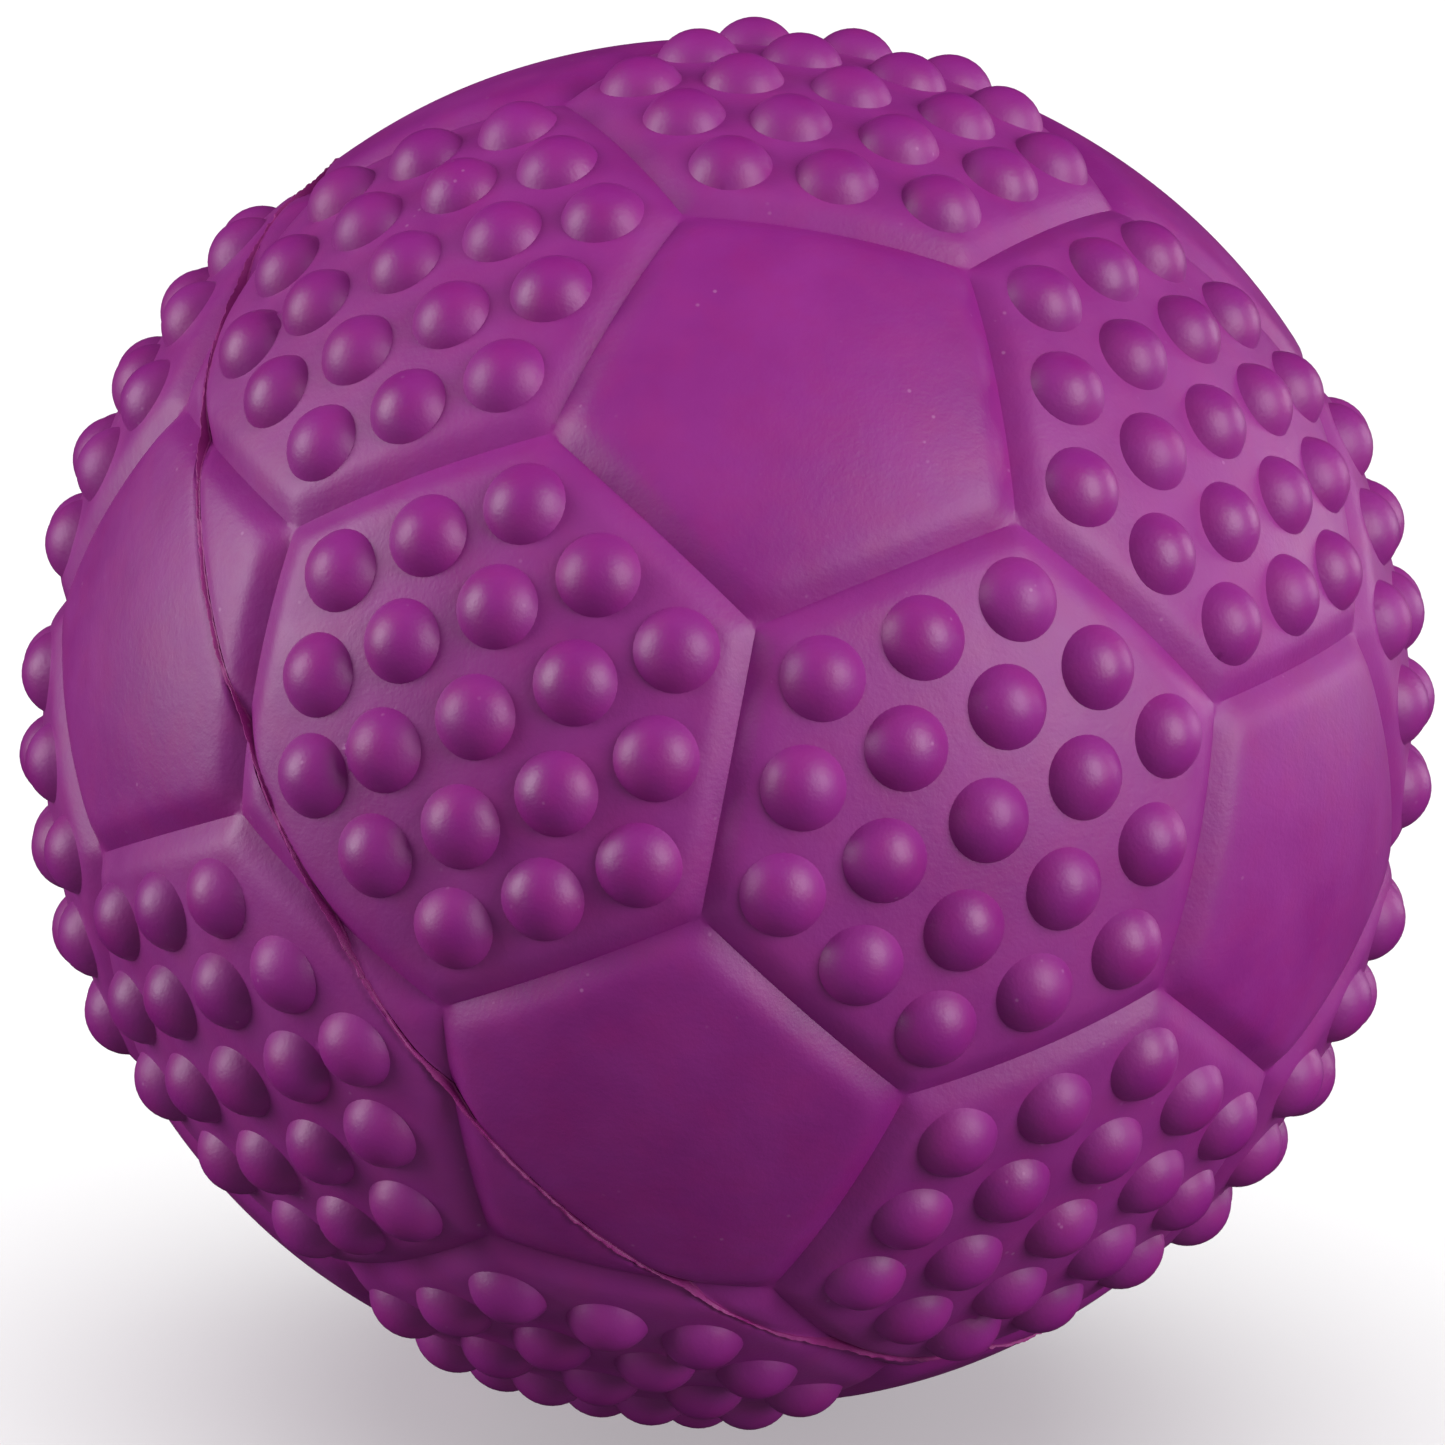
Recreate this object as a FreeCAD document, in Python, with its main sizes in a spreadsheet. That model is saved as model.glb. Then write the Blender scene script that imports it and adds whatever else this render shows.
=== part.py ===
import FreeCAD, Part
import itertools
import math
import os
from FreeCAD import Placement, Rotation, Vector

# A hollow rubber play ball, moulded in two halves that are bonded together.
#
# The skin is divided by creases like a truncated icosahedron: 12 smooth pentagons, and 20 hexagons
# that carry 19 round bumps each.  The two halves meet on a plane through the ball's centre, square
# to the line through the middle of a hexagon.  A thin bond lies between them, and a flash of
# rubber stands up along it all round the outside.
#
# The halves are drawn about the mould's axis, with the joint on the XY plane.  One placement then
# turns every piece together, so that the ball stands on three of its bumps.  The origin stays at
# the ball's centre, +Z points up and the front faces -Y.  Lengths are in millimetres and angles in
# degrees.

SIZES = {
    "over_bumps": 70.0,       # diameter over the tops of the bumps
    "bump_rise": 1.2,         # height of a bump above the skin
    "bump_width": 3.9,        # diameter of a bump where it meets the skin
    "bump_pitch": 8.85,       # angle between the middle bump of a hexagon and the next one
    "bump_clear": 0.9,        # least gap between a bump's foot and the joint
    "joint_spread": 2.2,      # angle by which bumps beside the joint are moved away from it
    "spread_reach": 45.0,     # angle from the joint at which bumps are no longer moved
    "crease_deep": 0.6,       # depth of a crease below the skin
    "crease_wide": 1.5,       # width of a crease at the skin
    "wall": 5.0,              # thickness of the rubber under the skin
    "bond_thick": 0.3,        # thickness of the bond between the halves
    "flash_root": 0.9,        # how far the flash reaches in below the skin
    "flash_rise": 0.25,       # how far the flash stands above the skin
    "stand_latitude": -35.55,   # the direction from the centre, about the mould's axis,
    "stand_longitude": -57.97,  # whose nearest three bumps the ball stands on
    "axis_heading": -35.69,   # direction of the mould's axis, seen from above
}

doc = FreeCAD.newDocument("PlayBall")
sheet = doc.addObject("Spreadsheet::Sheet", "Sizes")
for row, (name, number) in enumerate(SIZES.items(), start=1):
    sheet.set("A%d" % row, name)
    sheet.set("B%d" % row, str(number))
    sheet.setAlias("B%d" % row, name)
doc.recompute()


def size(name):
    """A driving dimension, read from the sheet."""
    return float(sheet.get(name))


SKIN_RADIUS = "(Sizes.over_bumps / 2 - Sizes.bump_rise)"
HALF_BOND = "(Sizes.bond_thick / 2)"
skin_radius = size("over_bumps") / 2 - size("bump_rise")


# ---------------------------------------------------------------- directions on the ball

def icosahedron_corners():
    """The 12 corners of an icosahedron, turned so that a face is square to +Z."""
    golden = (1 + math.sqrt(5)) / 2
    turn = Rotation(Vector(1, 1, 1), Vector(0, 0, 1))
    corners = []
    for one, gold in itertools.product((-1, 1), (-golden, golden)):
        for x, y, z in ((0, one, gold), (one, gold, 0), (gold, 0, one)):
            corners.append(turn.multVec(Vector(x, y, z)).normalize())
    return corners


PENTAGONS = icosahedron_corners()
NEIGHBOUR_COSINE = 1 / math.sqrt(5)


def are_neighbours(*corners):
    """Whether every two of these icosahedron corners share an edge."""
    return all(abs(a.dot(b) - NEIGHBOUR_COSINE) < 0.01 for a, b in itertools.combinations(corners, 2))


def seam_ends():
    """The two ends of each crease, as unit directions.

    A hexagon lies on each face of the icosahedron.  Its corners are the thirds of the face's edges.
    """
    seams = []
    for a, b in itertools.combinations(PENTAGONS, 2):
        if are_neighbours(a, b):
            seams.append((third_point(a, b), third_point(b, a)))
    for a, b, c in itertools.permutations(PENTAGONS, 3):
        if are_neighbours(a, b, c) and PENTAGONS.index(b) < PENTAGONS.index(c):
            seams.append((third_point(a, b), third_point(a, c)))
    return seams


def third_point(near, far):
    """The direction a third of the way along an icosahedron edge."""
    return (near * 2 + far).normalize()


def hexagon_bumps(face):
    """The 19 bump directions of one hexagon, in rows of 3, 4, 5, 4 and 3."""
    middle = (face[0] + face[1] + face[2]).normalize()
    toward_corner = third_point(face[0], face[1]) - middle
    across = (toward_corner - middle * toward_corner.dot(middle)).normalize()
    along = middle.cross(across)
    spacing = math.tan(math.radians(size("bump_pitch")))
    bumps = []
    for row, count in zip((-2, -1, 0, 1, 2), (3, 4, 5, 4, 3)):
        for place in range(count):
            right = (place - (count - 1) / 2) * spacing
            up = row * spacing * math.sqrt(3) / 2
            bumps.append((middle + across * right + along * up).normalize())
    return bumps


def spread_from_joint(bump):
    """A bump's direction, moved away from the joint: most beside it, and not at all far from it."""
    latitude = math.degrees(math.asin(abs(bump.z)))
    if latitude >= size("spread_reach"):
        return bump
    moved = latitude + size("joint_spread") * (1 - latitude / size("spread_reach")) ** 2
    foot_reach = size("bump_width") / 2 + size("bump_clear") + size("bond_thick") / 2
    moved = max(math.radians(moved), math.asin(foot_reach / skin_radius))
    level = Vector(bump.x, bump.y, 0).normalize() * math.cos(moved)
    return level + Vector(0, 0, math.copysign(math.sin(moved), bump.z))


def all_bumps():
    """Every bump direction on the ball."""
    bumps = []
    for face in itertools.combinations(PENTAGONS, 3):
        if are_neighbours(*face):
            bumps.extend(spread_from_joint(bump) for bump in hexagon_bumps(face))
    return bumps


BUMPS = all_bumps()
SEAMS = seam_ends()


# ---------------------------------------------------------------- how the ball stands

def standing_placement():
    """Turns the mould's frame so that three bumps are lowest and the axis has its heading."""
    latitude = math.radians(size("stand_latitude"))
    longitude = math.radians(size("stand_longitude"))
    below = Vector(math.cos(latitude) * math.cos(longitude),
                   math.cos(latitude) * math.sin(longitude),
                   math.sin(latitude))
    a, b, c = sorted(BUMPS, key=lambda bump: -bump.dot(below))[:3]
    foot = (b - a).cross(c - a).normalize()
    if foot.dot(below) < 0:
        foot = -foot
    stand = Rotation(foot, Vector(0, 0, -1))
    axis = stand.multVec(Vector(0, 0, 1))
    heading = math.degrees(math.atan2(axis.y, axis.x))
    turn = Rotation(Vector(0, 0, 1), size("axis_heading") - heading)
    return Placement(Vector(0, 0, 0), turn.multiply(stand))


# ---------------------------------------------------------------- building blocks

def add(kind, name, **expressions):
    """A document object whose properties are bound to the sheet."""
    made = doc.addObject(kind, name)
    for prop, expression in expressions.items():
        made.setExpression(prop, expression)
    return made


def cut(name, base, tool):
    """The first object with the second taken away."""
    made = doc.addObject("Part::Cut", name)
    made.Base, made.Tool = base, tool
    return made


def fuse(name, shapes):
    """Several objects joined into one."""
    made = doc.addObject("Part::MultiFuse", name)
    made.Shapes = shapes
    return made


def ball(name, radius):
    """A sphere about the origin."""
    return add("Part::Sphere", name, Radius=radius)


def ring(name, outer, inner, height):
    """A flat ring about the mould's axis, half of it on each side of the joint."""
    parts = []
    for end, radius in (("Outer", outer), ("Inner", inner)):
        disc = add("Part::Cylinder", name + end, Radius=radius, Height=height)
        disc.setExpression("Placement.Base.z", "-(%s) / 2" % height)
        parts.append(disc)
    return cut(name, parts[0], parts[1])


def crease_tool(name, start, end):
    """A round groove along the great circle from one seam corner to the next.

    Its section is the circle through both lips of the crease and its bottom.
    """
    round_radius = "((Sizes.crease_wide / 2)^2 + Sizes.crease_deep^2) / (2 * Sizes.crease_deep)"
    tool = add("Part::Torus", name,
               Radius1="%s - Sizes.crease_deep + %s" % (SKIN_RADIUS, round_radius),
               Radius2=round_radius)
    tool.Angle3 = math.degrees(start.getAngle(end))
    normal = start.cross(end).normalize()
    tool.Placement = Placement(Vector(0, 0, 0), Rotation(start, normal.cross(start), normal, "ZXY"))
    return tool


def bump_tool(name, direction):
    """A sphere that stands out of the skin as a round bump, with its pole at the bump's top."""
    cap_radius = "((Sizes.bump_width / 2)^2 + Sizes.bump_rise^2) / (2 * Sizes.bump_rise)"
    tool = add("Part::Sphere", name, Radius=cap_radius)
    tool.Placement.Rotation = Rotation(Vector(0, 0, 1), direction)
    for axis, share in zip("xyz", direction):
        tool.setExpression("Placement.Base." + axis,
                           "(Sizes.over_bumps / 2 - %s) * %.9f" % (cap_radius, share))
    return tool


def half_shell(label, side):
    """One moulded half: a hollow half ball with its creases and its bumps."""
    block = add("Part::Cylinder", label + "_space",
                Radius="Sizes.over_bumps", Height="Sizes.over_bumps")
    if side > 0:
        block.setExpression("Placement.Base.z", HALF_BOND)
    else:
        block.setExpression("Placement.Base.z", "-%s - Sizes.over_bumps" % HALF_BOND)
    half = doc.addObject("Part::Common", label + "_half")
    half.Base, half.Tool = ball(label + "_skin", SKIN_RADIUS), block
    hollow = cut(label + "_hollow", half, ball(label + "_cavity", SKIN_RADIUS + " - Sizes.wall"))

    seams = [ends for ends in SEAMS if max(side * ends[0].z, side * ends[1].z) > 0]
    creases = [crease_tool("%s_crease_%d" % (label, n), *ends) for n, ends in enumerate(seams)]
    creased = cut(label + "_creased", hollow, fuse(label + "_creases", creases))

    tops = [bump for bump in BUMPS if side * bump.z > 0]
    bumps = [bump_tool("%s_bump_%d" % (label, n), bump) for n, bump in enumerate(tops)]
    return fuse(label, [creased] + bumps)


# ---------------------------------------------------------------- the pieces

def build_pieces():
    """The pieces of the ball, in the mould's frame."""
    bond_radius = SKIN_RADIUS + " - Sizes.flash_root"
    return [
        half_shell("upper_half_shell", 1),
        half_shell("lower_half_shell", -1),
        ring("seam_bond", bond_radius, SKIN_RADIUS + " - Sizes.wall", "Sizes.bond_thick"),
        ring("parting_flash", SKIN_RADIUS + " + Sizes.flash_rise", bond_radius, "Sizes.bond_thick"),
    ]


pieces = build_pieces()
doc.recompute()
for piece in pieces:
    piece.Label = piece.Name
    piece.Placement = standing_placement()

for item in doc.Objects:
    if "Invalid" in item.State or "Error" in item.State:
        raise RuntimeError("%s failed: %s" % (item.Name, item.State))
for piece in pieces:
    shape = piece.Shape
    if shape.isNull() or not shape.isValid() or len(shape.Solids) != 1:
        raise RuntimeError("%s is not one valid solid" % piece.Label)

os.makedirs("parts", exist_ok=True)
for piece in pieces:
    piece.Shape.exportStep(os.path.join("parts", piece.Label + ".step"))
    print("%s: %d faces, %.1f mm3" % (piece.Label, len(piece.Shape.Faces), piece.Shape.Volume))
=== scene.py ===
import itertools
import math

import bpy
import numpy as np
from mathutils import Matrix, Vector
from mathutils.geometry import delaunay_2d_cdt


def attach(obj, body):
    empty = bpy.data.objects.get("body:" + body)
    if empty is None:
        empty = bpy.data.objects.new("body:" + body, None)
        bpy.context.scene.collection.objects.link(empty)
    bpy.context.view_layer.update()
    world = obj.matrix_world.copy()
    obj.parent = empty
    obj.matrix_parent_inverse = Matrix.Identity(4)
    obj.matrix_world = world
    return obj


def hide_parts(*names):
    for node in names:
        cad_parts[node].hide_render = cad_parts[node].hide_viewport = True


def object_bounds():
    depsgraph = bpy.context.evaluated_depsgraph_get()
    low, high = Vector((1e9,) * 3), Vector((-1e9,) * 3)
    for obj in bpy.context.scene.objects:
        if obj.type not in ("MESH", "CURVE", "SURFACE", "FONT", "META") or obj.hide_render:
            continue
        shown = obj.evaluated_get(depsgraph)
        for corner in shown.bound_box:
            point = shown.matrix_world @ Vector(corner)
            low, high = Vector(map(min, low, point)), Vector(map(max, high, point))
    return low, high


# Looks for the moulded rubber play ball.  Lengths are in metres, in the CAD model's frame: the
# origin is the ball's centre, +Z is up and the front faces -Y.  The skin is meshed about the
# mould's axis, where the joint is the XY plane, and is then turned to stand as the CAD model does.

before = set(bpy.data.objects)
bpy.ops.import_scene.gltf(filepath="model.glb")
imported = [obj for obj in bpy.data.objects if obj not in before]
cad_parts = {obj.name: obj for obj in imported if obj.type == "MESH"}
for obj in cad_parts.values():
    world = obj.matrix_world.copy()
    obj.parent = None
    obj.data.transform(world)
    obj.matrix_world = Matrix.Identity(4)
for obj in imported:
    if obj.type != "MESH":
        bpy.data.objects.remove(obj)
CAD_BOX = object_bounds()
MM = 0.001

# ---------------------------------------------------------------- sizes, as the CAD model has them
TOP_RADIUS = 35.0 * MM          # over the bump tops
BUMP_RISE = 1.2 * MM
BUMP_WIDTH = 3.9 * MM
BUMP_PITCH = math.radians(8.85)
BUMP_CLEAR = 0.9 * MM           # least gap from a bump's foot to the joint
JOINT_SPREAD = math.radians(2.2)    # how far bumps beside the joint are moved away from it
SPREAD_REACH = math.radians(45.0)   # how far from the joint bumps are still moved
HALF_BOND = 0.15 * MM
WALL = 5.0 * MM
STAND_LATITUDE = math.radians(-35.55)
STAND_LONGITUDE = math.radians(-57.97)
AXIS_HEADING = math.radians(-35.69)

SKIN_RADIUS = TOP_RADIUS - BUMP_RISE
CAVITY_RADIUS = SKIN_RADIUS - WALL
CAP_RADIUS = ((BUMP_WIDTH / 2) ** 2 + BUMP_RISE ** 2) / (2 * BUMP_RISE)

# ---------------------------------------------------------------- finer shape of the moulded skin
CREASE_DEEP = 0.62 * MM
SHOULDER = 1.2 * MM             # width of the bevel from a crease up to its panel
SHOULDER_ROUND = 0.45           # how much of the bevel's top is rounded
HEXAGON_CORNER = 0.35 * MM      # how widely the shoulders of two sides melt together
PENTAGON_CORNER = 1.1 * MM
PENTAGON_CROWN = 0.14 * MM      # extra height in the middle of a pentagon
PENTAGON_APOTHEM = 9.7 * MM
JOINT_DIP = 0.12 * MM           # depth of the slit beside the flash, where it is open
JOINT_DIP_REACH = 0.26 * MM
SKIN_WAVE = 0.02 * MM           # height of the skin's slow unevenness
BUMP_WEAR = 0.03 * MM           # how much lower the lowest bump is than the highest

# ---------------------------------------------------------------- mesh spacing
EDGE_STEP = 0.36 * MM
COARSE_STEP = 1.3 * EDGE_STEP   # along the rows that lie COARSE_FROM or more from an edge
COARSE_FROM = 0.5 * MM
ROW_SHARE = 0.93                # a row keeps points at least this share of its distance from any edge
RING_STEP = 0.36 * MM
FOOT_COUNT = 34                 # points round the foot of a bump
FOOT_PASSES = 5                 # steps by which a foot settles on the bare skin
FILL_STEP = 0.52 * MM
CREASE_ROWS = (0.16 * MM, 0.5 * MM, 0.85 * MM, 1.12 * MM, 1.42 * MM)
JOINT_ROWS = (0.27 * MM, 0.43 * MM, 0.7 * MM)
CAP_ANGLES = (9, 18, 27, 36, 44, 51, 56)     # rings on a bump, in degrees from its top
SHARP_ANGLE = math.radians(32)               # edges that bend more than this are shaded sharp
FOOT_RINGS = (0.0, 0.1 * MM, 0.4 * MM)       # rings at and outside a bump's foot
CLEAR_OF_CREASE = 0.05 * MM     # least gap between a panel's inner points and its sides
CLEAR_OF_JOINT = 0.2 * MM       # least gap between a panel's inner points and the joint
CLEAR_OF_ROWS = 0.3 * MM        # least gap between the even grid and the rows beside an edge
CLEAR_OF_FOOT = 0.28 * MM       # least gap between the even grid and a bump's outermost foot ring
LEAST_GAP = 0.11                # least gap between any two points of a panel, in millimetres
WELD_STEP = 0.002 * MM          # points closer than about this are joined where panels meet
CAVITY_RINGS = 14               # rings of points from the joint up to the top of the hollow
ON_JOINT = 1e-9                 # height below which a direction counts as lying on the joint
PANEL_REACH = 0.47              # tangent of the widest angle from a panel's middle to a corner


def unit(vectors):
    """Vectors scaled to length one."""
    vectors = np.asarray(vectors, float)
    return vectors / np.linalg.norm(vectors, axis=-1, keepdims=True)


def turn_between(start, end):
    """The rotation matrix that takes one unit vector to another."""
    return np.array(Vector(start).rotation_difference(Vector(end)).to_matrix())


def flat_axes(middle):
    """Two unit vectors square to a direction and to each other."""
    helper = np.array((0.0, 0.0, 1.0)) if abs(middle[2]) < 0.9 else np.array((1.0, 0.0, 0.0))
    across = unit(np.cross(helper, middle))
    return across, np.cross(middle, across)


# ---------------------------------------------------------------- panels

def icosahedron_corners():
    """The 12 corners of an icosahedron, turned so that a face is square to +Z."""
    golden = (1 + math.sqrt(5)) / 2
    corners = []
    for one, gold in itertools.product((-1, 1), (-golden, golden)):
        corners += [(0, one, gold), (one, gold, 0), (gold, 0, one)]
    return unit(corners) @ turn_between(unit((1, 1, 1)), (0, 0, 1)).T


PENTAGONS = icosahedron_corners()


def are_neighbours(*corners):
    """Whether every two of these icosahedron corners, given by number, share an edge."""
    return all(abs(PENTAGONS[a] @ PENTAGONS[b] - 1 / math.sqrt(5)) < 0.01
               for a, b in itertools.combinations(corners, 2))


def third_point(near, far):
    """The direction a third of the way along an icosahedron edge, given by its ends' numbers."""
    return unit(2 * PENTAGONS[near] + PENTAGONS[far])


def around(middle, points):
    """The points in order around a middle direction."""
    across, along = flat_axes(middle)
    return sorted(points, key=lambda p: math.atan2(p @ along, p @ across))


def hexagon_bumps(face):
    """The 19 bump directions of one hexagon, in rows of 3, 4, 5, 4 and 3."""
    middle = unit(PENTAGONS[list(face)].sum(0))
    corner = third_point(face[0], face[1])
    across = unit(corner - middle * (corner @ middle))
    along = np.cross(middle, across)
    spacing = math.tan(BUMP_PITCH)
    bumps = []
    for row, count in zip((-2, -1, 0, 1, 2), (3, 4, 5, 4, 3)):
        for place in range(count):
            right = (place - (count - 1) / 2) * spacing
            up = row * spacing * math.sqrt(3) / 2
            bumps.append(unit(middle + across * right + along * up))
    return bumps


def spread_from_joint(bump):
    """A bump's direction, moved away from the joint: most beside it, and not at all far from it."""
    latitude = math.asin(abs(bump[2]))
    if latitude >= SPREAD_REACH:
        return bump
    moved = latitude + JOINT_SPREAD * (1 - latitude / SPREAD_REACH) ** 2
    moved = max(moved, math.asin((BUMP_WIDTH / 2 + BUMP_CLEAR + HALF_BOND) / SKIN_RADIUS))
    level = unit((bump[0], bump[1], 0)) * math.cos(moved)
    return level + np.array((0, 0, math.copysign(math.sin(moved), bump[2])))


def all_panels():
    """Every panel: its middle, its corners in order, its bumps and whether it is a pentagon."""
    panels = []
    for a in range(12):
        corners = [third_point(a, b) for b in range(12) if are_neighbours(a, b)]
        panels.append({"middle": PENTAGONS[a], "corners": around(PENTAGONS[a], corners),
                       "bumps": [], "pentagon": True})
    for face in itertools.combinations(range(12), 3):
        if are_neighbours(*face):
            middle = unit(PENTAGONS[list(face)].sum(0))
            corners = [third_point(a, b) for a, b in itertools.permutations(face, 2)]
            bumps = [spread_from_joint(bump) for bump in hexagon_bumps(face)]
            panels.append({"middle": middle, "corners": around(middle, corners),
                           "bumps": bumps, "pentagon": False})
    return panels


PANELS = all_panels()


def standing_turn():
    """The rotation that stands the ball on three bumps, as the CAD model stands."""
    below = np.array((math.cos(STAND_LATITUDE) * math.cos(STAND_LONGITUDE),
                      math.cos(STAND_LATITUDE) * math.sin(STAND_LONGITUDE),
                      math.sin(STAND_LATITUDE)))
    bumps = np.array([bump for panel in PANELS for bump in panel["bumps"]])
    a, b, c = bumps[np.argsort(-(bumps @ below))[:3]]
    foot = unit(np.cross(b - a, c - a))
    foot *= np.sign(foot @ below)
    stand = turn_between(foot, (0, 0, -1))
    axis = stand @ np.array((0, 0, 1))
    turn = AXIS_HEADING - math.atan2(axis[1], axis[0])
    return np.array(Matrix.Rotation(turn, 3, "Z")) @ stand


STAND = standing_turn()


# ---------------------------------------------------------------- height of the skin

def soft_min(a, b, reach):
    """The smaller of two values, melted together where they are within reach of each other."""
    near = np.clip(1 - np.abs(a - b) / reach, 0, None)
    return np.minimum(a, b) - near ** 2 * reach / 4


def side_planes(panel):
    """The inward normals of the planes through the ball's centre and each side of a panel."""
    corners = np.array(panel["corners"])
    normals = unit(np.cross(corners, np.roll(corners, -1, axis=0)))
    return normals * np.sign(normals @ panel["middle"])[:, None]


def crease_distance(panel, directions):
    """How far directions lie from the panel's sides, along the skin, with rounded corners."""
    reach = PENTAGON_CORNER if panel["pentagon"] else HEXAGON_CORNER
    sides = SKIN_RADIUS * np.arcsin(np.clip(directions @ side_planes(panel).T, -1, 1))
    distance = sides[:, 0]
    for column in sides.T[1:]:
        distance = soft_min(distance, column, reach)
    return np.clip(distance, 0, None)


def slow_waves(directions):
    """An even, slow unevenness of the skin, between about -1 and 1."""
    x, y, z = directions.T
    return (np.sin(5.1 * x + 2.3 * y + 0.4) * np.sin(4.3 * y - 3.7 * z + 1.9)
            + 0.6 * np.sin(11.7 * z + 6.1 * x + 2.2) * np.sin(9.3 * y + 7.9 * x + 0.8)) / 1.6


def ripple(turns, *waves):
    """A sum of whole-number sine waves round the ball, so that it closes on itself."""
    return sum(size * np.sin(count * turns + phase) for count, size, phase in waves)


def slit_share(directions):
    """How far the slit beside the flash is open, from 0 to 1, on each side of the joint."""
    turns = np.arctan2(directions[:, 1], directions[:, 0])
    side = np.where(directions[:, 2] < 0, 1.0, -1.0)
    uneven = ripple(turns, (5, 0.5, 0.9), (13, 0.3, 2.2), (31, 0.2, 4.0))
    return np.clip(0.5 + side * 0.75 * uneven, 0, 1)


def bare_radius(panel, directions):
    """The skin's radius along each direction without the bumps, and how near a crease it is."""
    distance = crease_distance(panel, directions)
    rise = soft_min(distance / SHOULDER, np.ones(len(distance)), SHOULDER_ROUND)
    radius = SKIN_RADIUS - CREASE_DEEP * (1 - rise) + SKIN_WAVE * slow_waves(directions)
    if panel["pentagon"]:
        radius += PENTAGON_CROWN * np.sin(np.clip(distance / PENTAGON_APOTHEM, 0, 1) * math.pi / 2)
    past_bond = np.clip(SKIN_RADIUS * np.abs(directions[:, 2]) - HALF_BOND, 0, None)
    open_slit = 0.3 + 0.7 * slit_share(directions)
    radius -= JOINT_DIP * open_slit * np.exp(-(past_bond / JOINT_DIP_REACH) ** 2)
    return radius, np.clip(1 - distance / SHOULDER, 0, 1)


def bump_sphere(panel, number):
    """How far from the ball's centre a bump's own sphere lies, and that sphere's radius.

    Each bump differs a little, by a share that its panel and its number always make the same.
    """
    key = math.sin(127.1 * panel["middle"][0] + 311.7 * panel["middle"][1]
                   + 74.7 * panel["middle"][2] + 19.3 * number) * 43758.5
    share = key - math.floor(key)
    cap = CAP_RADIUS * (0.994 + 0.012 * share)
    return TOP_RADIUS - BUMP_WEAR * share - cap, cap


def skin_heights(panel, directions):
    """The skin's radius along each direction, and the marks that the material reads."""
    radius, creased = bare_radius(panel, directions)
    bare = radius.copy()
    for number, bump in enumerate(panel["bumps"]):
        centre, cap = bump_sphere(panel, number)
        cosine = directions @ bump
        reach = cap ** 2 - centre ** 2 * (1 - cosine ** 2)
        near = (cosine > 0) & (reach > 0)
        dome = centre * cosine + np.sqrt(np.clip(reach, 0, None))
        radius = np.where(near, np.maximum(radius, dome), radius)
    domed = np.clip((radius - bare) / BUMP_RISE, 0, 1)
    # Dust and painted sheen: the level floor of a hexagon, away from its bumps and less near its
    # creases, is greyed partly as a dust film and partly as the broad lights' reflection painted into
    # the colour; pentagons get none.
    dust_and_sheen = (1 - domed) * (1 - 0.5 * creased) * (0.0 if panel["pentagon"] else 1.0)
    return radius, {"dome": domed, "dust_and_sheen": dust_and_sheen}


# ---------------------------------------------------------------- meshing one panel of one half

def clipped(corners, side):
    """A panel's corners on one side of the joint, with new corners where it crosses."""
    kept = []
    for start, end in zip(corners, corners[1:] + corners[:1]):
        if side * start[2] >= 0:
            kept.append(start)
        if start[2] * end[2] < 0:
            kept.append(unit(start * abs(end[2]) + end * abs(start[2])))
    return kept


def side_points(start, end):
    """Evenly spaced directions from start up to end, end left out.

    They are worked out the same way from either end, so that two panels share them exactly.
    """
    flip = tuple(start) > tuple(end)
    a, b = (end, start) if flip else (start, end)
    angle = math.acos(min(1, a @ b))
    count = max(1, round(angle * SKIN_RADIUS / EDGE_STEP))
    shares = np.arange(count + 1) / count
    points = np.sin((1 - shares) * angle)[:, None] * a + np.sin(shares * angle)[:, None] * b
    points = points / math.sin(angle)
    return points[::-1][:-1] if flip else points[:-1]


def offset_rows(panel, side, outline):
    """Rows of directions beside the creases and beside the joint."""
    planes = side_planes(panel)
    rows = []
    crosses = any(abs(point[2]) < ON_JOINT for point in outline)
    for start, end in zip(outline, outline[1:] + outline[:1]):
        on_joint = max(abs(start[2]), abs(end[2])) < ON_JOINT
        inward = unit(np.cross(start, end))
        inward *= np.sign(inward @ panel["middle"]) or 1
        if on_joint:
            inward = np.array((0.0, 0.0, side))
        for distance in (JOINT_ROWS if on_joint else CREASE_ROWS):
            step = EDGE_STEP if distance < COARSE_FROM else COARSE_STEP
            count = max(2, round(math.acos(min(1, start @ end)) * SKIN_RADIUS / step))
            shares = (np.arange(count) + 0.5)[:, None] / count
            row = unit(unit(start * (1 - shares) + end * shares)
                       + inward * math.tan(distance / SKIN_RADIUS))
            nearest = SKIN_RADIUS * np.arcsin(np.clip(row @ planes.T, -1, 1)).min(1)
            if crosses and not on_joint:
                nearest = np.minimum(nearest, SKIN_RADIUS * side * row[:, 2])
            rows.append(row[nearest > distance * ROW_SHARE])
    return np.concatenate(rows)


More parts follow.
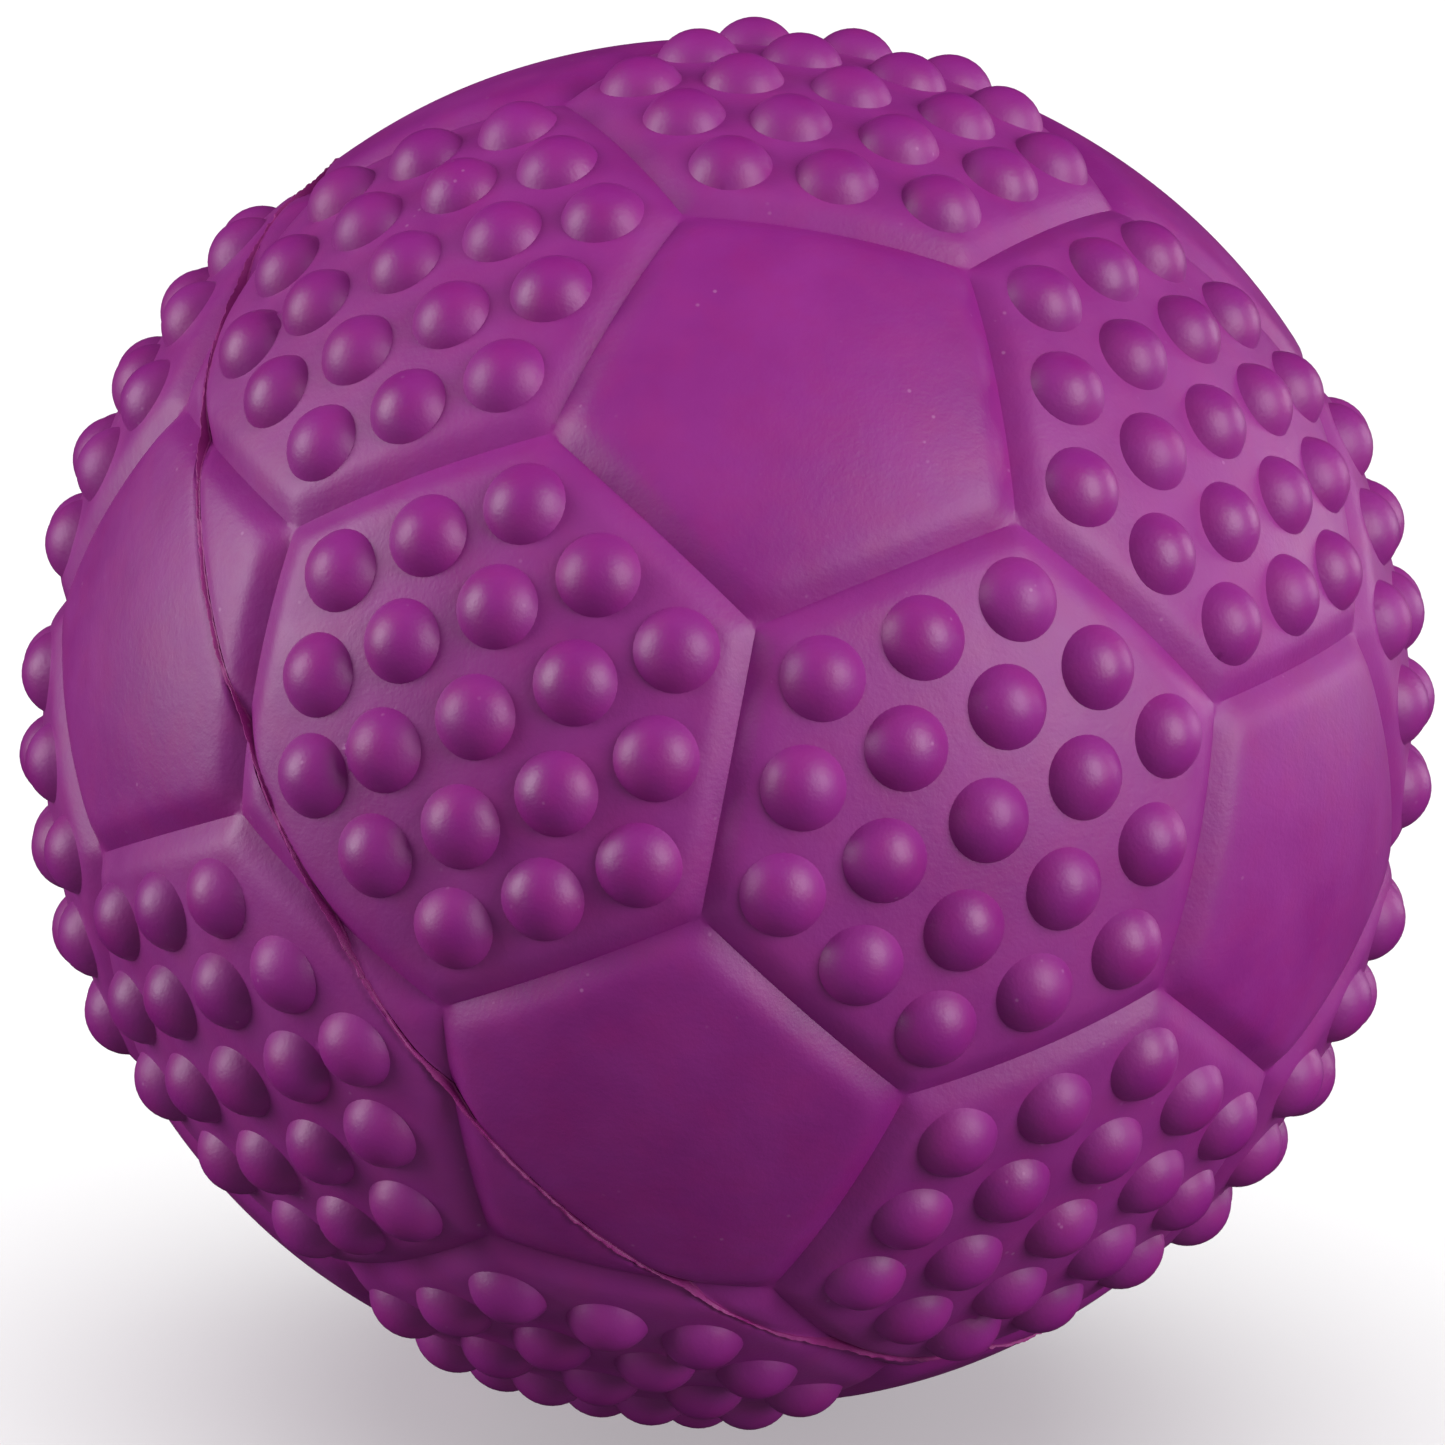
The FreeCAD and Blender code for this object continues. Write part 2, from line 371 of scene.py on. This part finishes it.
def bump_rings(panel, number):
    """Rings of directions on one bump: first along its foot, then just outside it, then up it."""
    bump = panel["bumps"][number]
    across, along = flat_axes(bump)
    centre, cap = bump_sphere(panel, number)

    def ring(angles, turns):
        angles = np.broadcast_to(angles, turns.shape)[:, None]
        return np.cos(angles) * bump + np.sin(angles) * (np.cos(turns)[:, None] * across
                                                         + np.sin(turns)[:, None] * along)

    rings = []
    for place, gap in enumerate(FOOT_RINGS):
        turns = (np.arange(FOOT_COUNT) + 0.5 * (place % 2)) * 2 * math.pi / FOOT_COUNT
        foot = np.full(FOOT_COUNT, BUMP_WIDTH / 2 / SKIN_RADIUS)
        for _ in range(FOOT_PASSES):
            skin, _ = bare_radius(panel, ring(foot, turns))
            foot = np.arccos((centre ** 2 + skin ** 2 - cap ** 2) / (2 * centre * skin))
        rings.append(ring(foot + gap / SKIN_RADIUS, turns))
    rings.append(bump[None])
    for place, tilt in enumerate(np.radians(CAP_ANGLES)):
        angle = math.atan2(cap * math.sin(tilt), centre + cap * math.cos(tilt))
        count = max(6, round(2 * math.pi * angle * SKIN_RADIUS / RING_STEP))
        rings.append(ring(angle, (np.arange(count) + 0.5 * (place % 2)) * 2 * math.pi / count))
    return np.concatenate(rings)


def thinned(points, always, gap):
    """The numbers of the points left when those closer than gap to an earlier one are dropped.

    The first few, as many as always says, are kept however close they are.
    """
    kept = []
    cells = {}
    for index, point in enumerate(points):
        column, row = np.floor(point / gap).astype(int)
        nearby = [other for right, up in itertools.product((-1, 0, 1), repeat=2)
                  for other in cells.get((column + right, row + up), ())]
        if index >= always and any(np.hypot(*(points[other] - point)) < gap for other in nearby):
            continue
        kept.append(index)
        cells.setdefault((column, row), []).append(index)
    return kept


def foot_edges(starts, place):
    """The edges along every bump's foot, for the feet whose points were all kept."""
    feet = [(place[start + k], place[start + (k + 1) % FOOT_COUNT])
            for start in starts for k in range(FOOT_COUNT)]
    return [(int(a), int(b)) for a, b in feet if min(a, b) >= 0]


def panel_mesh(panel, side):
    """Directions and triangles of one panel on one side of the joint."""
    outline = clipped(panel["corners"], side)
    if len(outline) < 3:
        return None
    middle = panel["middle"]
    across, along = flat_axes(middle)

    def flattened(directions):
        scaled = directions / (directions @ middle)[:, None]
        return np.stack((scaled @ across, scaled @ along), 1) * SKIN_RADIUS / MM

    border = np.concatenate([side_points(a, b) for a, b in zip(outline, outline[1:] + outline[:1])])
    own = [number for number, bump in enumerate(panel["bumps"]) if side * bump[2] > 0]
    rings = [bump_rings(panel, number) for number in own]
    bumps = [panel["bumps"][number] for number in own]
    inner = np.concatenate(rings + [offset_rows(panel, side, outline), fill_grid(panel, side, bumps)])
    inside = (inner @ side_planes(panel).T).min(1) * SKIN_RADIUS > CLEAR_OF_CREASE
    inside &= side * inner[:, 2] * SKIN_RADIUS > CLEAR_OF_JOINT

    everything = np.concatenate([border, inner])
    order = np.concatenate([np.arange(len(border)), len(border) + np.flatnonzero(inside)])
    order = order[thinned(flattened(everything[order]), len(border), LEAST_GAP)]
    directions = everything[order]
    flat = flattened(directions)
    place = np.full(len(everything), -1)
    place[order] = np.arange(len(order))
    starts = len(border) + np.cumsum([0] + [len(ring) for ring in rings], dtype=int)[:-1]

    result = delaunay_2d_cdt([Vector(point) for point in flat], foot_edges(starts, place),
                             [list(range(len(border)))], 1, 1e-6)
    source = [origin[0] for origin in result[3]]
    triangles = np.array([[source[corner] for corner in face] for face in result[2]])
    a, b, c = (flat[triangles[:, k]] for k in range(3))
    backward = np.cross(b - a, c - a) < 0
    triangles[backward] = triangles[backward][:, ::-1]
    return directions, triangles


def fill_grid(panel, side, bumps):
    """An even grid of directions over the level part of a panel, clear of its bumps."""
    middle = panel["middle"]
    across, along = flat_axes(middle)
    step = FILL_STEP / SKIN_RADIUS
    half = int(PANEL_REACH / step)
    column, row = np.meshgrid(np.arange(-half, half + 1), np.arange(-half, half + 1))
    right = (column + 0.5 * (row % 2)) * step
    up = row * step * math.sqrt(3) / 2
    grid = unit(middle + right.ravel()[:, None] * across + up.ravel()[:, None] * along)
    keep = SKIN_RADIUS * (grid @ side_planes(panel).T).min(1) > CREASE_ROWS[-1] + CLEAR_OF_ROWS
    keep &= SKIN_RADIUS * side * grid[:, 2] > JOINT_ROWS[-1] + CLEAR_OF_ROWS
    if bumps:
        clear = math.cos((BUMP_WIDTH / 2 + FOOT_RINGS[-1] + CLEAR_OF_FOOT) / SKIN_RADIUS)
        keep &= (grid @ np.array(bumps).T).max(1) < clear
    return grid[keep]


# ---------------------------------------------------------------- one moulded half

def half_skin(side):
    """Points, triangles and marks of one half's outer skin, welded across its panels."""
    points, triangles, marks, start = [], [], {"dome": [], "dust_and_sheen": []}, 0
    for panel in PANELS:
        meshed = panel_mesh(panel, side)
        if meshed is None:
            continue
        directions, faces = meshed
        radius, found = skin_heights(panel, directions)
        points.append(directions * radius[:, None])
        triangles.append(faces + start)
        for name, values in found.items():
            marks[name].append(values)
        start += len(directions)
    points = np.concatenate(points)
    triangles = np.concatenate(triangles)
    marks = {name: np.concatenate(values) for name, values in marks.items()}
    return welded(points, triangles, marks)


def welded(points, triangles, marks):
    """The mesh with points that lie within a few micrometres of each other joined."""
    keys = np.round(points / WELD_STEP).astype(np.int64)
    first = {}
    index = np.empty(len(points), int)
    own_cell_first = sorted(itertools.product((-1, 0, 1), repeat=3), key=any)
    for number, (x, y, z) in enumerate(keys.tolist()):
        cells = ((x + right, y + back, z + up) for right, back, up in own_cell_first)
        index[number] = next((first[cell] for cell in cells if cell in first), number)
        if index[number] == number:
            first[(x, y, z)] = number
    used, compact = np.unique(index, return_inverse=True)
    triangles = compact[triangles]
    real = ((triangles[:, 0] != triangles[:, 1]) & (triangles[:, 1] != triangles[:, 2])
            & (triangles[:, 0] != triangles[:, 2]))
    return points[used], triangles[real], {name: values[used] for name, values in marks.items()}


def rim_loop(points, triangles):
    """The open edge of the skin, as point numbers in order round the joint."""
    edges = np.concatenate([triangles[:, (0, 1)], triangles[:, (1, 2)], triangles[:, (2, 0)]])
    edges = np.sort(edges, 1)
    pairs, counts = np.unique(edges, axis=0, return_counts=True)
    rim = np.unique(pairs[counts == 1])
    return rim[np.argsort(np.arctan2(points[rim][:, 1], points[rim][:, 0]))]


def closed_half(side):
    """A half shell as a closed mesh: its skin, its joint face and the wall of the hollow."""
    points, triangles, marks = half_skin(side)
    rim = rim_loop(points, triangles)
    points[rim, 2] = side * HALF_BOND
    count = len(rim)
    turns = np.arctan2(points[rim][:, 1], points[rim][:, 0])
    rings, faces = [], []
    previous = rim
    start = len(points)
    floor_latitude = math.asin(HALF_BOND / CAVITY_RADIUS)
    for ring in range(CAVITY_RINGS):
        latitude = floor_latitude + (math.pi / 2 - floor_latitude) * ring / CAVITY_RINGS
        level = CAVITY_RADIUS * math.cos(latitude)
        rings.append(np.stack((level * np.cos(turns), level * np.sin(turns),
                               np.full(count, side * CAVITY_RADIUS * math.sin(latitude))), 1))
        current = start + ring * count + np.arange(count)
        a, b = previous, np.roll(previous, -1)
        c, d = np.roll(current, -1), current
        faces += [np.stack((a, c, b), 1), np.stack((a, d, c), 1)]
        previous = current
    pole = start + CAVITY_RINGS * count
    rings.append(np.array([[0, 0, side * CAVITY_RADIUS]]))
    faces.append(np.stack((previous, np.full(count, pole), np.roll(previous, -1)), 1))
    faces = np.concatenate(faces)
    if side < 0:
        faces = faces[:, ::-1]
    inner = np.concatenate(rings)
    points = np.concatenate([points, inner])
    marks = {name: np.concatenate([values, np.zeros(len(inner))]) for name, values in marks.items()}
    return points, np.concatenate([triangles, faces]), marks


def mesh_object(name, points, triangles, marks):
    """A smooth-shaded mesh object from arrays, stood as the ball stands."""
    points = points @ STAND.T
    mesh = bpy.data.meshes.new(name)
    mesh.vertices.add(len(points))
    mesh.vertices.foreach_set("co", points.astype(np.float32).ravel())
    mesh.loops.add(len(triangles) * 3)
    mesh.loops.foreach_set("vertex_index", triangles.astype(np.int32).ravel())
    mesh.polygons.add(len(triangles))
    mesh.polygons.foreach_set("loop_start", np.arange(0, len(triangles) * 3, 3, dtype=np.int32))
    mesh.polygons.foreach_set("use_smooth", np.ones(len(triangles), bool))
    for mark, values in marks.items():
        stored = mesh.attributes.new(mark, "FLOAT", "POINT")
        stored.data.foreach_set("value", values.astype(np.float32))
    mesh.update(calc_edges=True)
    mesh.validate()
    mesh.set_sharp_from_angle(angle=SHARP_ANGLE)
    made = bpy.data.objects.new(name, mesh)
    bpy.context.scene.collection.objects.link(made)
    return made


# ---------------------------------------------------------------- the flash along the joint

FLASH_STEPS = 2600
FLASH_ROOT = 0.45 * MM          # how far the flash reaches in below the skin
FLASH_RISE = 0.19 * MM
FLASH_HALF_WIDTH = 0.085 * MM
FLASH_BRIDGE = 0.75             # how far the flash fills a crease that it crosses
BRIDGE_TOP = SKIN_RADIUS - 0.1 * MM
# The section, from one root over the ridge to the other: across in half widths, up as a share of
# the rise (below 0 is the root), and how much of the lean each point takes.
FLASH_SECTION = ((-1.75, -1.0, 0.0), (-1.75, 0.0, 0.0), (-1.0, 0.12, 0.1), (-0.8, 0.6, 0.35),
                 (-0.35, 0.95, 0.9), (0.3, 1.0, 1.0), (0.75, 0.65, 0.4), (1.0, 0.12, 0.1),
                 (1.75, 0.0, 0.0), (1.75, -1.0, 0.0))


def joint_radius(turns):
    """The skin's radius round the joint."""
    directions = np.stack((np.cos(turns), np.sin(turns), np.zeros(len(turns))), 1)
    radius = np.full(len(turns), SKIN_RADIUS)
    for panel in PANELS:
        inside = (directions @ side_planes(panel).T).min(1) >= -ON_JOINT
        if inside.any():
            radius[inside] = skin_heights(panel, directions[inside])[0]
    return radius


def flash_mesh():
    """Points and triangles of the flash: a thin ragged fin all round the joint."""
    turns = np.arange(FLASH_STEPS) * 2 * math.pi / FLASH_STEPS
    radius = joint_radius(turns)
    uneven = ripple(turns, (23, 0.3, 0.5), (61, 0.25, 2.1), (137, 0.25, 4.4), (311, 0.2, 1.3))
    fine = ripple(turns, (197, 0.35, 0.2), (433, 0.35, 3.9), (709, 0.3, 5.2))
    drift = ripple(turns, (7, 0.05, 1.1), (19, 0.04, 3.7), (53, 0.025, 0.4), (151, 0.012, 2.6)) * MM
    nick = np.clip(ripple(turns, (29, 0.5, 2.7), (83, 0.5, 0.9)) - 0.62, 0, 1) * 2.2
    rise = FLASH_RISE * np.clip(0.62 + 0.38 * uneven + 0.16 * fine, 0.12, 1.2)
    rise *= np.clip(1 - nick, 0.15, 1)
    bridge = radius + FLASH_BRIDGE * np.clip(BRIDGE_TOP - radius, 0, None)
    half = FLASH_HALF_WIDTH * (1 + 0.28 * uneven + 0.12 * fine)
    lean = half * 0.7 * ripple(turns, (11, 0.6, 0.3), (37, 0.4, 5.0), (89, 0.3, 1.7))
    rows = []
    for across, up, leaning in FLASH_SECTION:
        distance = radius - FLASH_ROOT if up < 0 else radius + (bridge + rise - radius) * up
        height = drift + half * across + lean * leaning
        rows.append(np.stack((distance * np.cos(turns), distance * np.sin(turns), height), 1))
    points = np.stack(rows, 1).reshape(-1, 3)
    width = len(FLASH_SECTION)
    here = np.arange(FLASH_STEPS) * width
    ahead = np.roll(here, -1)
    triangles = []
    for k in range(width):
        after = (k + 1) % width
        triangles += [np.stack((here + k, ahead + k, ahead + after), 1),
                      np.stack((here + k, ahead + after, here + after), 1)]
    return points, np.concatenate(triangles)


# ---------------------------------------------------------------- materials

def node(tree, kind, **settings):
    """A shader node with its settings and socket values."""
    made = tree.nodes.new(kind)
    for name, value in settings.items():
        if hasattr(made, name):
            setattr(made, name, value)
        else:
            made.inputs[name.replace("_", " ")].default_value = value
    return made


DUST_AND_SHEEN_COLOUR = (0.30, 0.045, 0.255)     # grey between the bumps: partly a dust film, partly painted sheen of the broad lights
WARM_COLOUR = (0.25, 0.006, 0.16)       # the redder patches of an uneven pigment
SPECK_COLOUR = (0.40, 0.15, 0.35)


def rubber(name, deep, pale, roughness, grain):
    """Moulded rubber: a mottled colour, greyed between bumps by dust and a painted sheen, with faint
    specks and a fine grain.
    """
    material = bpy.data.materials.new(name)
    material.use_nodes = True
    tree = material.node_tree
    shader = tree.nodes["Principled BSDF"]
    link = tree.links.new
    place = node(tree, "ShaderNodeTexCoord").outputs["Object"]

    mottle = node(tree, "ShaderNodeTexNoise", Scale=230.0, Detail=4.0, Roughness=0.55)
    clouds = node(tree, "ShaderNodeTexNoise", Scale=60.0, Detail=3.0, Roughness=0.5)
    warmth = node(tree, "ShaderNodeTexNoise", Scale=430.0, Detail=3.0, Roughness=0.6)
    coarse = node(tree, "ShaderNodeTexNoise", Scale=1150.0, Detail=3.0, Roughness=0.6)
    fine = node(tree, "ShaderNodeTexNoise", Scale=5200.0, Detail=2.0, Roughness=0.6)
    specks = node(tree, "ShaderNodeTexVoronoi", Scale=1100.0, Randomness=1.0)
    speck_pick = node(tree, "ShaderNodeTexNoise", Scale=310.0, Detail=1.0)
    for texture in (mottle, clouds, warmth, coarse, fine, specks, speck_pick):
        link(place, texture.inputs["Vector"])

    def fitted(value, low, high, to_low, to_high):
        """A value taken from one range to another."""
        made = node(tree, "ShaderNodeMapRange", clamp=True)
        for socket, number in zip(("From Min", "From Max", "To Min", "To Max"),
                                  (low, high, to_low, to_high)):
            made.inputs[socket].default_value = number
        link(value, made.inputs["Value"])
        return made.outputs["Result"]

    def combined(operation, first, second):
        """Two values, or a value and a number, put together."""
        made = node(tree, "ShaderNodeMath", operation=operation)
        for socket, value in zip(made.inputs, (first, second)):
            if isinstance(value, (int, float)):
                socket.default_value = value
            else:
                link(value, socket)
        return made.outputs["Value"]

    def mixed(amount, first, second):
        """One colour turned into another by an amount."""
        made = node(tree, "ShaderNodeMix", data_type="RGBA")
        link(amount, made.inputs["Factor"])
        colours = [socket for socket in made.inputs if socket.type == "RGBA"]
        for socket, value in zip(colours, (first, second)):
            if isinstance(value, tuple):
                socket.default_value = (*value, 1.0)
            else:
                link(value, socket)
        return next(socket for socket in made.outputs if socket.type == "RGBA")

    def mark(named):
        """A mark stored on the mesh, such as how high up a bump a point is."""
        return node(tree, "ShaderNodeAttribute", attribute_name=named).outputs["Fac"]

    tone = combined("ADD", fitted(mottle.outputs["Fac"], 0.3, 0.7, -0.12, 0.14),
                    fitted(clouds.outputs["Fac"], 0.35, 0.65, 0.25, 0.55))
    colour = mixed(fitted(warmth.outputs["Fac"], 0.42, 0.68, 0.0, 0.4),
                   mixed(tone, deep, pale), WARM_COLOUR)
    # Dust and painted sheen: the bare floors between a hexagon's bumps are greyed, partly as a dust
    # film and partly as the lights' broad reflection painted into the colour.
    dust_and_sheen = combined("MULTIPLY", fitted(mark("dust_and_sheen"), 0.1, 1.0, 0.0, 0.22),
                     fitted(mottle.outputs["Fac"], 0.3, 0.7, 0.6, 1.0))
    colour = mixed(dust_and_sheen, colour, DUST_AND_SHEEN_COLOUR)
    speck = combined("MULTIPLY", fitted(specks.outputs["Distance"], 0.06, 0.13, 1.0, 0.0),
                     fitted(speck_pick.outputs["Fac"], 0.58, 0.70, 0.0, 0.45))
    colour = mixed(speck, colour, SPECK_COLOUR)
    link(colour, shader.inputs["Base Color"])

    worn = fitted(mottle.outputs["Fac"], 0.3, 0.7, roughness - 0.05, roughness + 0.06)
    rough = combined("ADD", worn, fitted(mark("dome"), 0.4, 1.0, 0.0, -0.05))
    link(rough, shader.inputs["Roughness"])

    bumped = node(tree, "ShaderNodeBump", Strength=grain, Distance=0.04 * MM)
    relief = combined("ADD", combined("MULTIPLY", fine.outputs["Fac"], 0.35),
                      combined("MULTIPLY", coarse.outputs["Fac"], 0.7))
    link(combined("ADD", relief, mottle.outputs["Fac"]), bumped.inputs["Height"])
    link(bumped.outputs["Normal"], shader.inputs["Normal"])
    shader.inputs["IOR"].default_value = 1.5
    shader.inputs["Specular IOR Level"].default_value = 0.5
    return material


SKIN_RUBBER = rubber("moulded_rubber", (0.184, 0.0056, 0.153), (0.268, 0.0105, 0.230), 0.5, 0.85)
FLASH_RUBBER = rubber("flash_rubber", (0.21, 0.007, 0.125), (0.33, 0.017, 0.225), 0.58, 0.9)
BOND_RUBBER = rubber("bond_rubber", (0.16, 0.01, 0.12), (0.24, 0.02, 0.19), 0.6, 0.5)

# ---------------------------------------------------------------- the ball's pieces

halves = []
for side, name, cad_node, slot in ((1, "upper_half_skin", "upper_half_shell", "upper_rubber"),
                                   (-1, "lower_half_skin", "lower_half_shell", "lower_rubber")):
    half = mesh_object(name, *closed_half(side))
    halves.append(half)
    half.data.materials.append(SKIN_RUBBER)
    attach(half, "root")
    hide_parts(cad_node)

flash = mesh_object("flash_ridge", *flash_mesh(), {})
flash.data.materials.append(FLASH_RUBBER)
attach(flash, "root")
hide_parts("parting_flash")

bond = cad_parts["seam_bond"]
bond.data.materials.clear()
bond.data.materials.append(BOND_RUBBER)

# ---------------------------------------------------------------- floor, lights and camera

FLOOR_LEVEL = CAD_BOX[0].z
FLOOR_REACH = 6.0


def plain_material(name, colour, roughness):
    """An even material for the floor."""
    material = bpy.data.materials.new(name)
    material.use_nodes = True
    shader = material.node_tree.nodes["Principled BSDF"]
    shader.inputs["Base Color"].default_value = (*colour, 1.0)
    shader.inputs["Roughness"].default_value = roughness
    return material


floor_mesh = bpy.data.meshes.new("floor")
floor_mesh.from_pydata([(x * FLOOR_REACH, y * FLOOR_REACH, FLOOR_LEVEL)
                        for x, y in ((-1, -1), (1, -1), (1, 1), (-1, 1))], [], [(0, 1, 2, 3)])
floor = bpy.data.objects.new("floor", floor_mesh)
bpy.context.scene.collection.objects.link(floor)
floor_mesh.materials.append(plain_material("pale_floor", (0.8, 0.8, 0.8), 0.7))
floor.visible_diffuse = False
floor.visible_glossy = False


def collection_of(name, things):
    """A collection outside the scene that lists things for a light."""
    made = bpy.data.collections.new(name)
    for thing in things:
        made.objects.link(thing)
    return made


def softbox(name, at, facing, width, height, power, lit, shaded_by=None, glossy=True):
    """A soft rectangular light at a point, turned to face another, that lights the given objects."""
    data = bpy.data.lights.new(name, "AREA")
    data.shape, data.size, data.size_y, data.energy = "RECTANGLE", width, height, power
    light = bpy.data.objects.new(name, data)
    light.location = at
    light.rotation_euler = (Vector(at) - Vector(facing)).to_track_quat("Z", "Y").to_euler()
    light.visible_glossy = glossy
    bpy.context.scene.collection.objects.link(light)
    light.light_linking.receiver_collection = collection_of(name + "_lights", lit)
    if shaded_by:
        light.light_linking.blocker_collection = collection_of(name + "_blockers", shaded_by)


BALL = [*halves, flash, bond]
CENTRE = (0, 0, 0)
softbox("left_softbox", (-0.69, -0.06, 0.22), CENTRE, 0.36, 0.52, 4.7, BALL)
softbox("right_softbox", (0.54, -0.38, 0.31), CENTRE, 0.42, 0.60, 5.7, BALL)
softbox("rim_softbox", (0.60, 0.33, 0.12), CENTRE, 0.30, 0.30, 1.2, BALL)
softbox("top_softbox", (0.0, -0.10, 0.80), CENTRE, 0.60, 0.60, 1.5, BALL, glossy=False)
softbox("floor_softbox", (0.0, 0.2, 1.6), (0.0, 0.2, 0.0), 2.6, 2.6, 22.0, [floor])
softbox("floor_fill", (0.0, 0.2, 1.6), (0.0, 0.2, 0.0), 2.6, 2.6, 34.0, [floor], [floor])

world = bpy.data.worlds.new("studio")
world.use_nodes = True
world.node_tree.nodes["Background"].inputs["Color"].default_value = (1, 1, 1, 1)
world.node_tree.nodes["Background"].inputs["Strength"].default_value = 0.3
world.cycles_visibility.glossy = False
bpy.context.scene.world = world
bpy.context.scene.view_settings.view_transform = "Standard"

CAMERA_ELEVATION = math.radians(14.7)
CAMERA_ROLL = math.radians(2.03)
CAMERA_DISTANCE = 11.0 * (SKIN_RADIUS - CREASE_DEEP)
CAMERA_LENS = 183.3             # in millimetres of focal length, on a sensor 36 mm wide
camera_data = bpy.data.cameras.new("camera")
camera_data.lens = CAMERA_LENS
camera_data.sensor_width = 36.0
camera = bpy.data.objects.new("camera", camera_data)
camera.location = (0, -CAMERA_DISTANCE * math.cos(CAMERA_ELEVATION),
                   CAMERA_DISTANCE * math.sin(CAMERA_ELEVATION))
aim = Vector(-camera.location).to_track_quat("-Z", "Y").to_matrix()
camera.rotation_euler = (aim @ Matrix.Rotation(CAMERA_ROLL, 3, "Z")).to_euler()
camera_data.shift_x = -0.0032
bpy.context.scene.collection.objects.link(camera)
bpy.context.scene.camera = camera
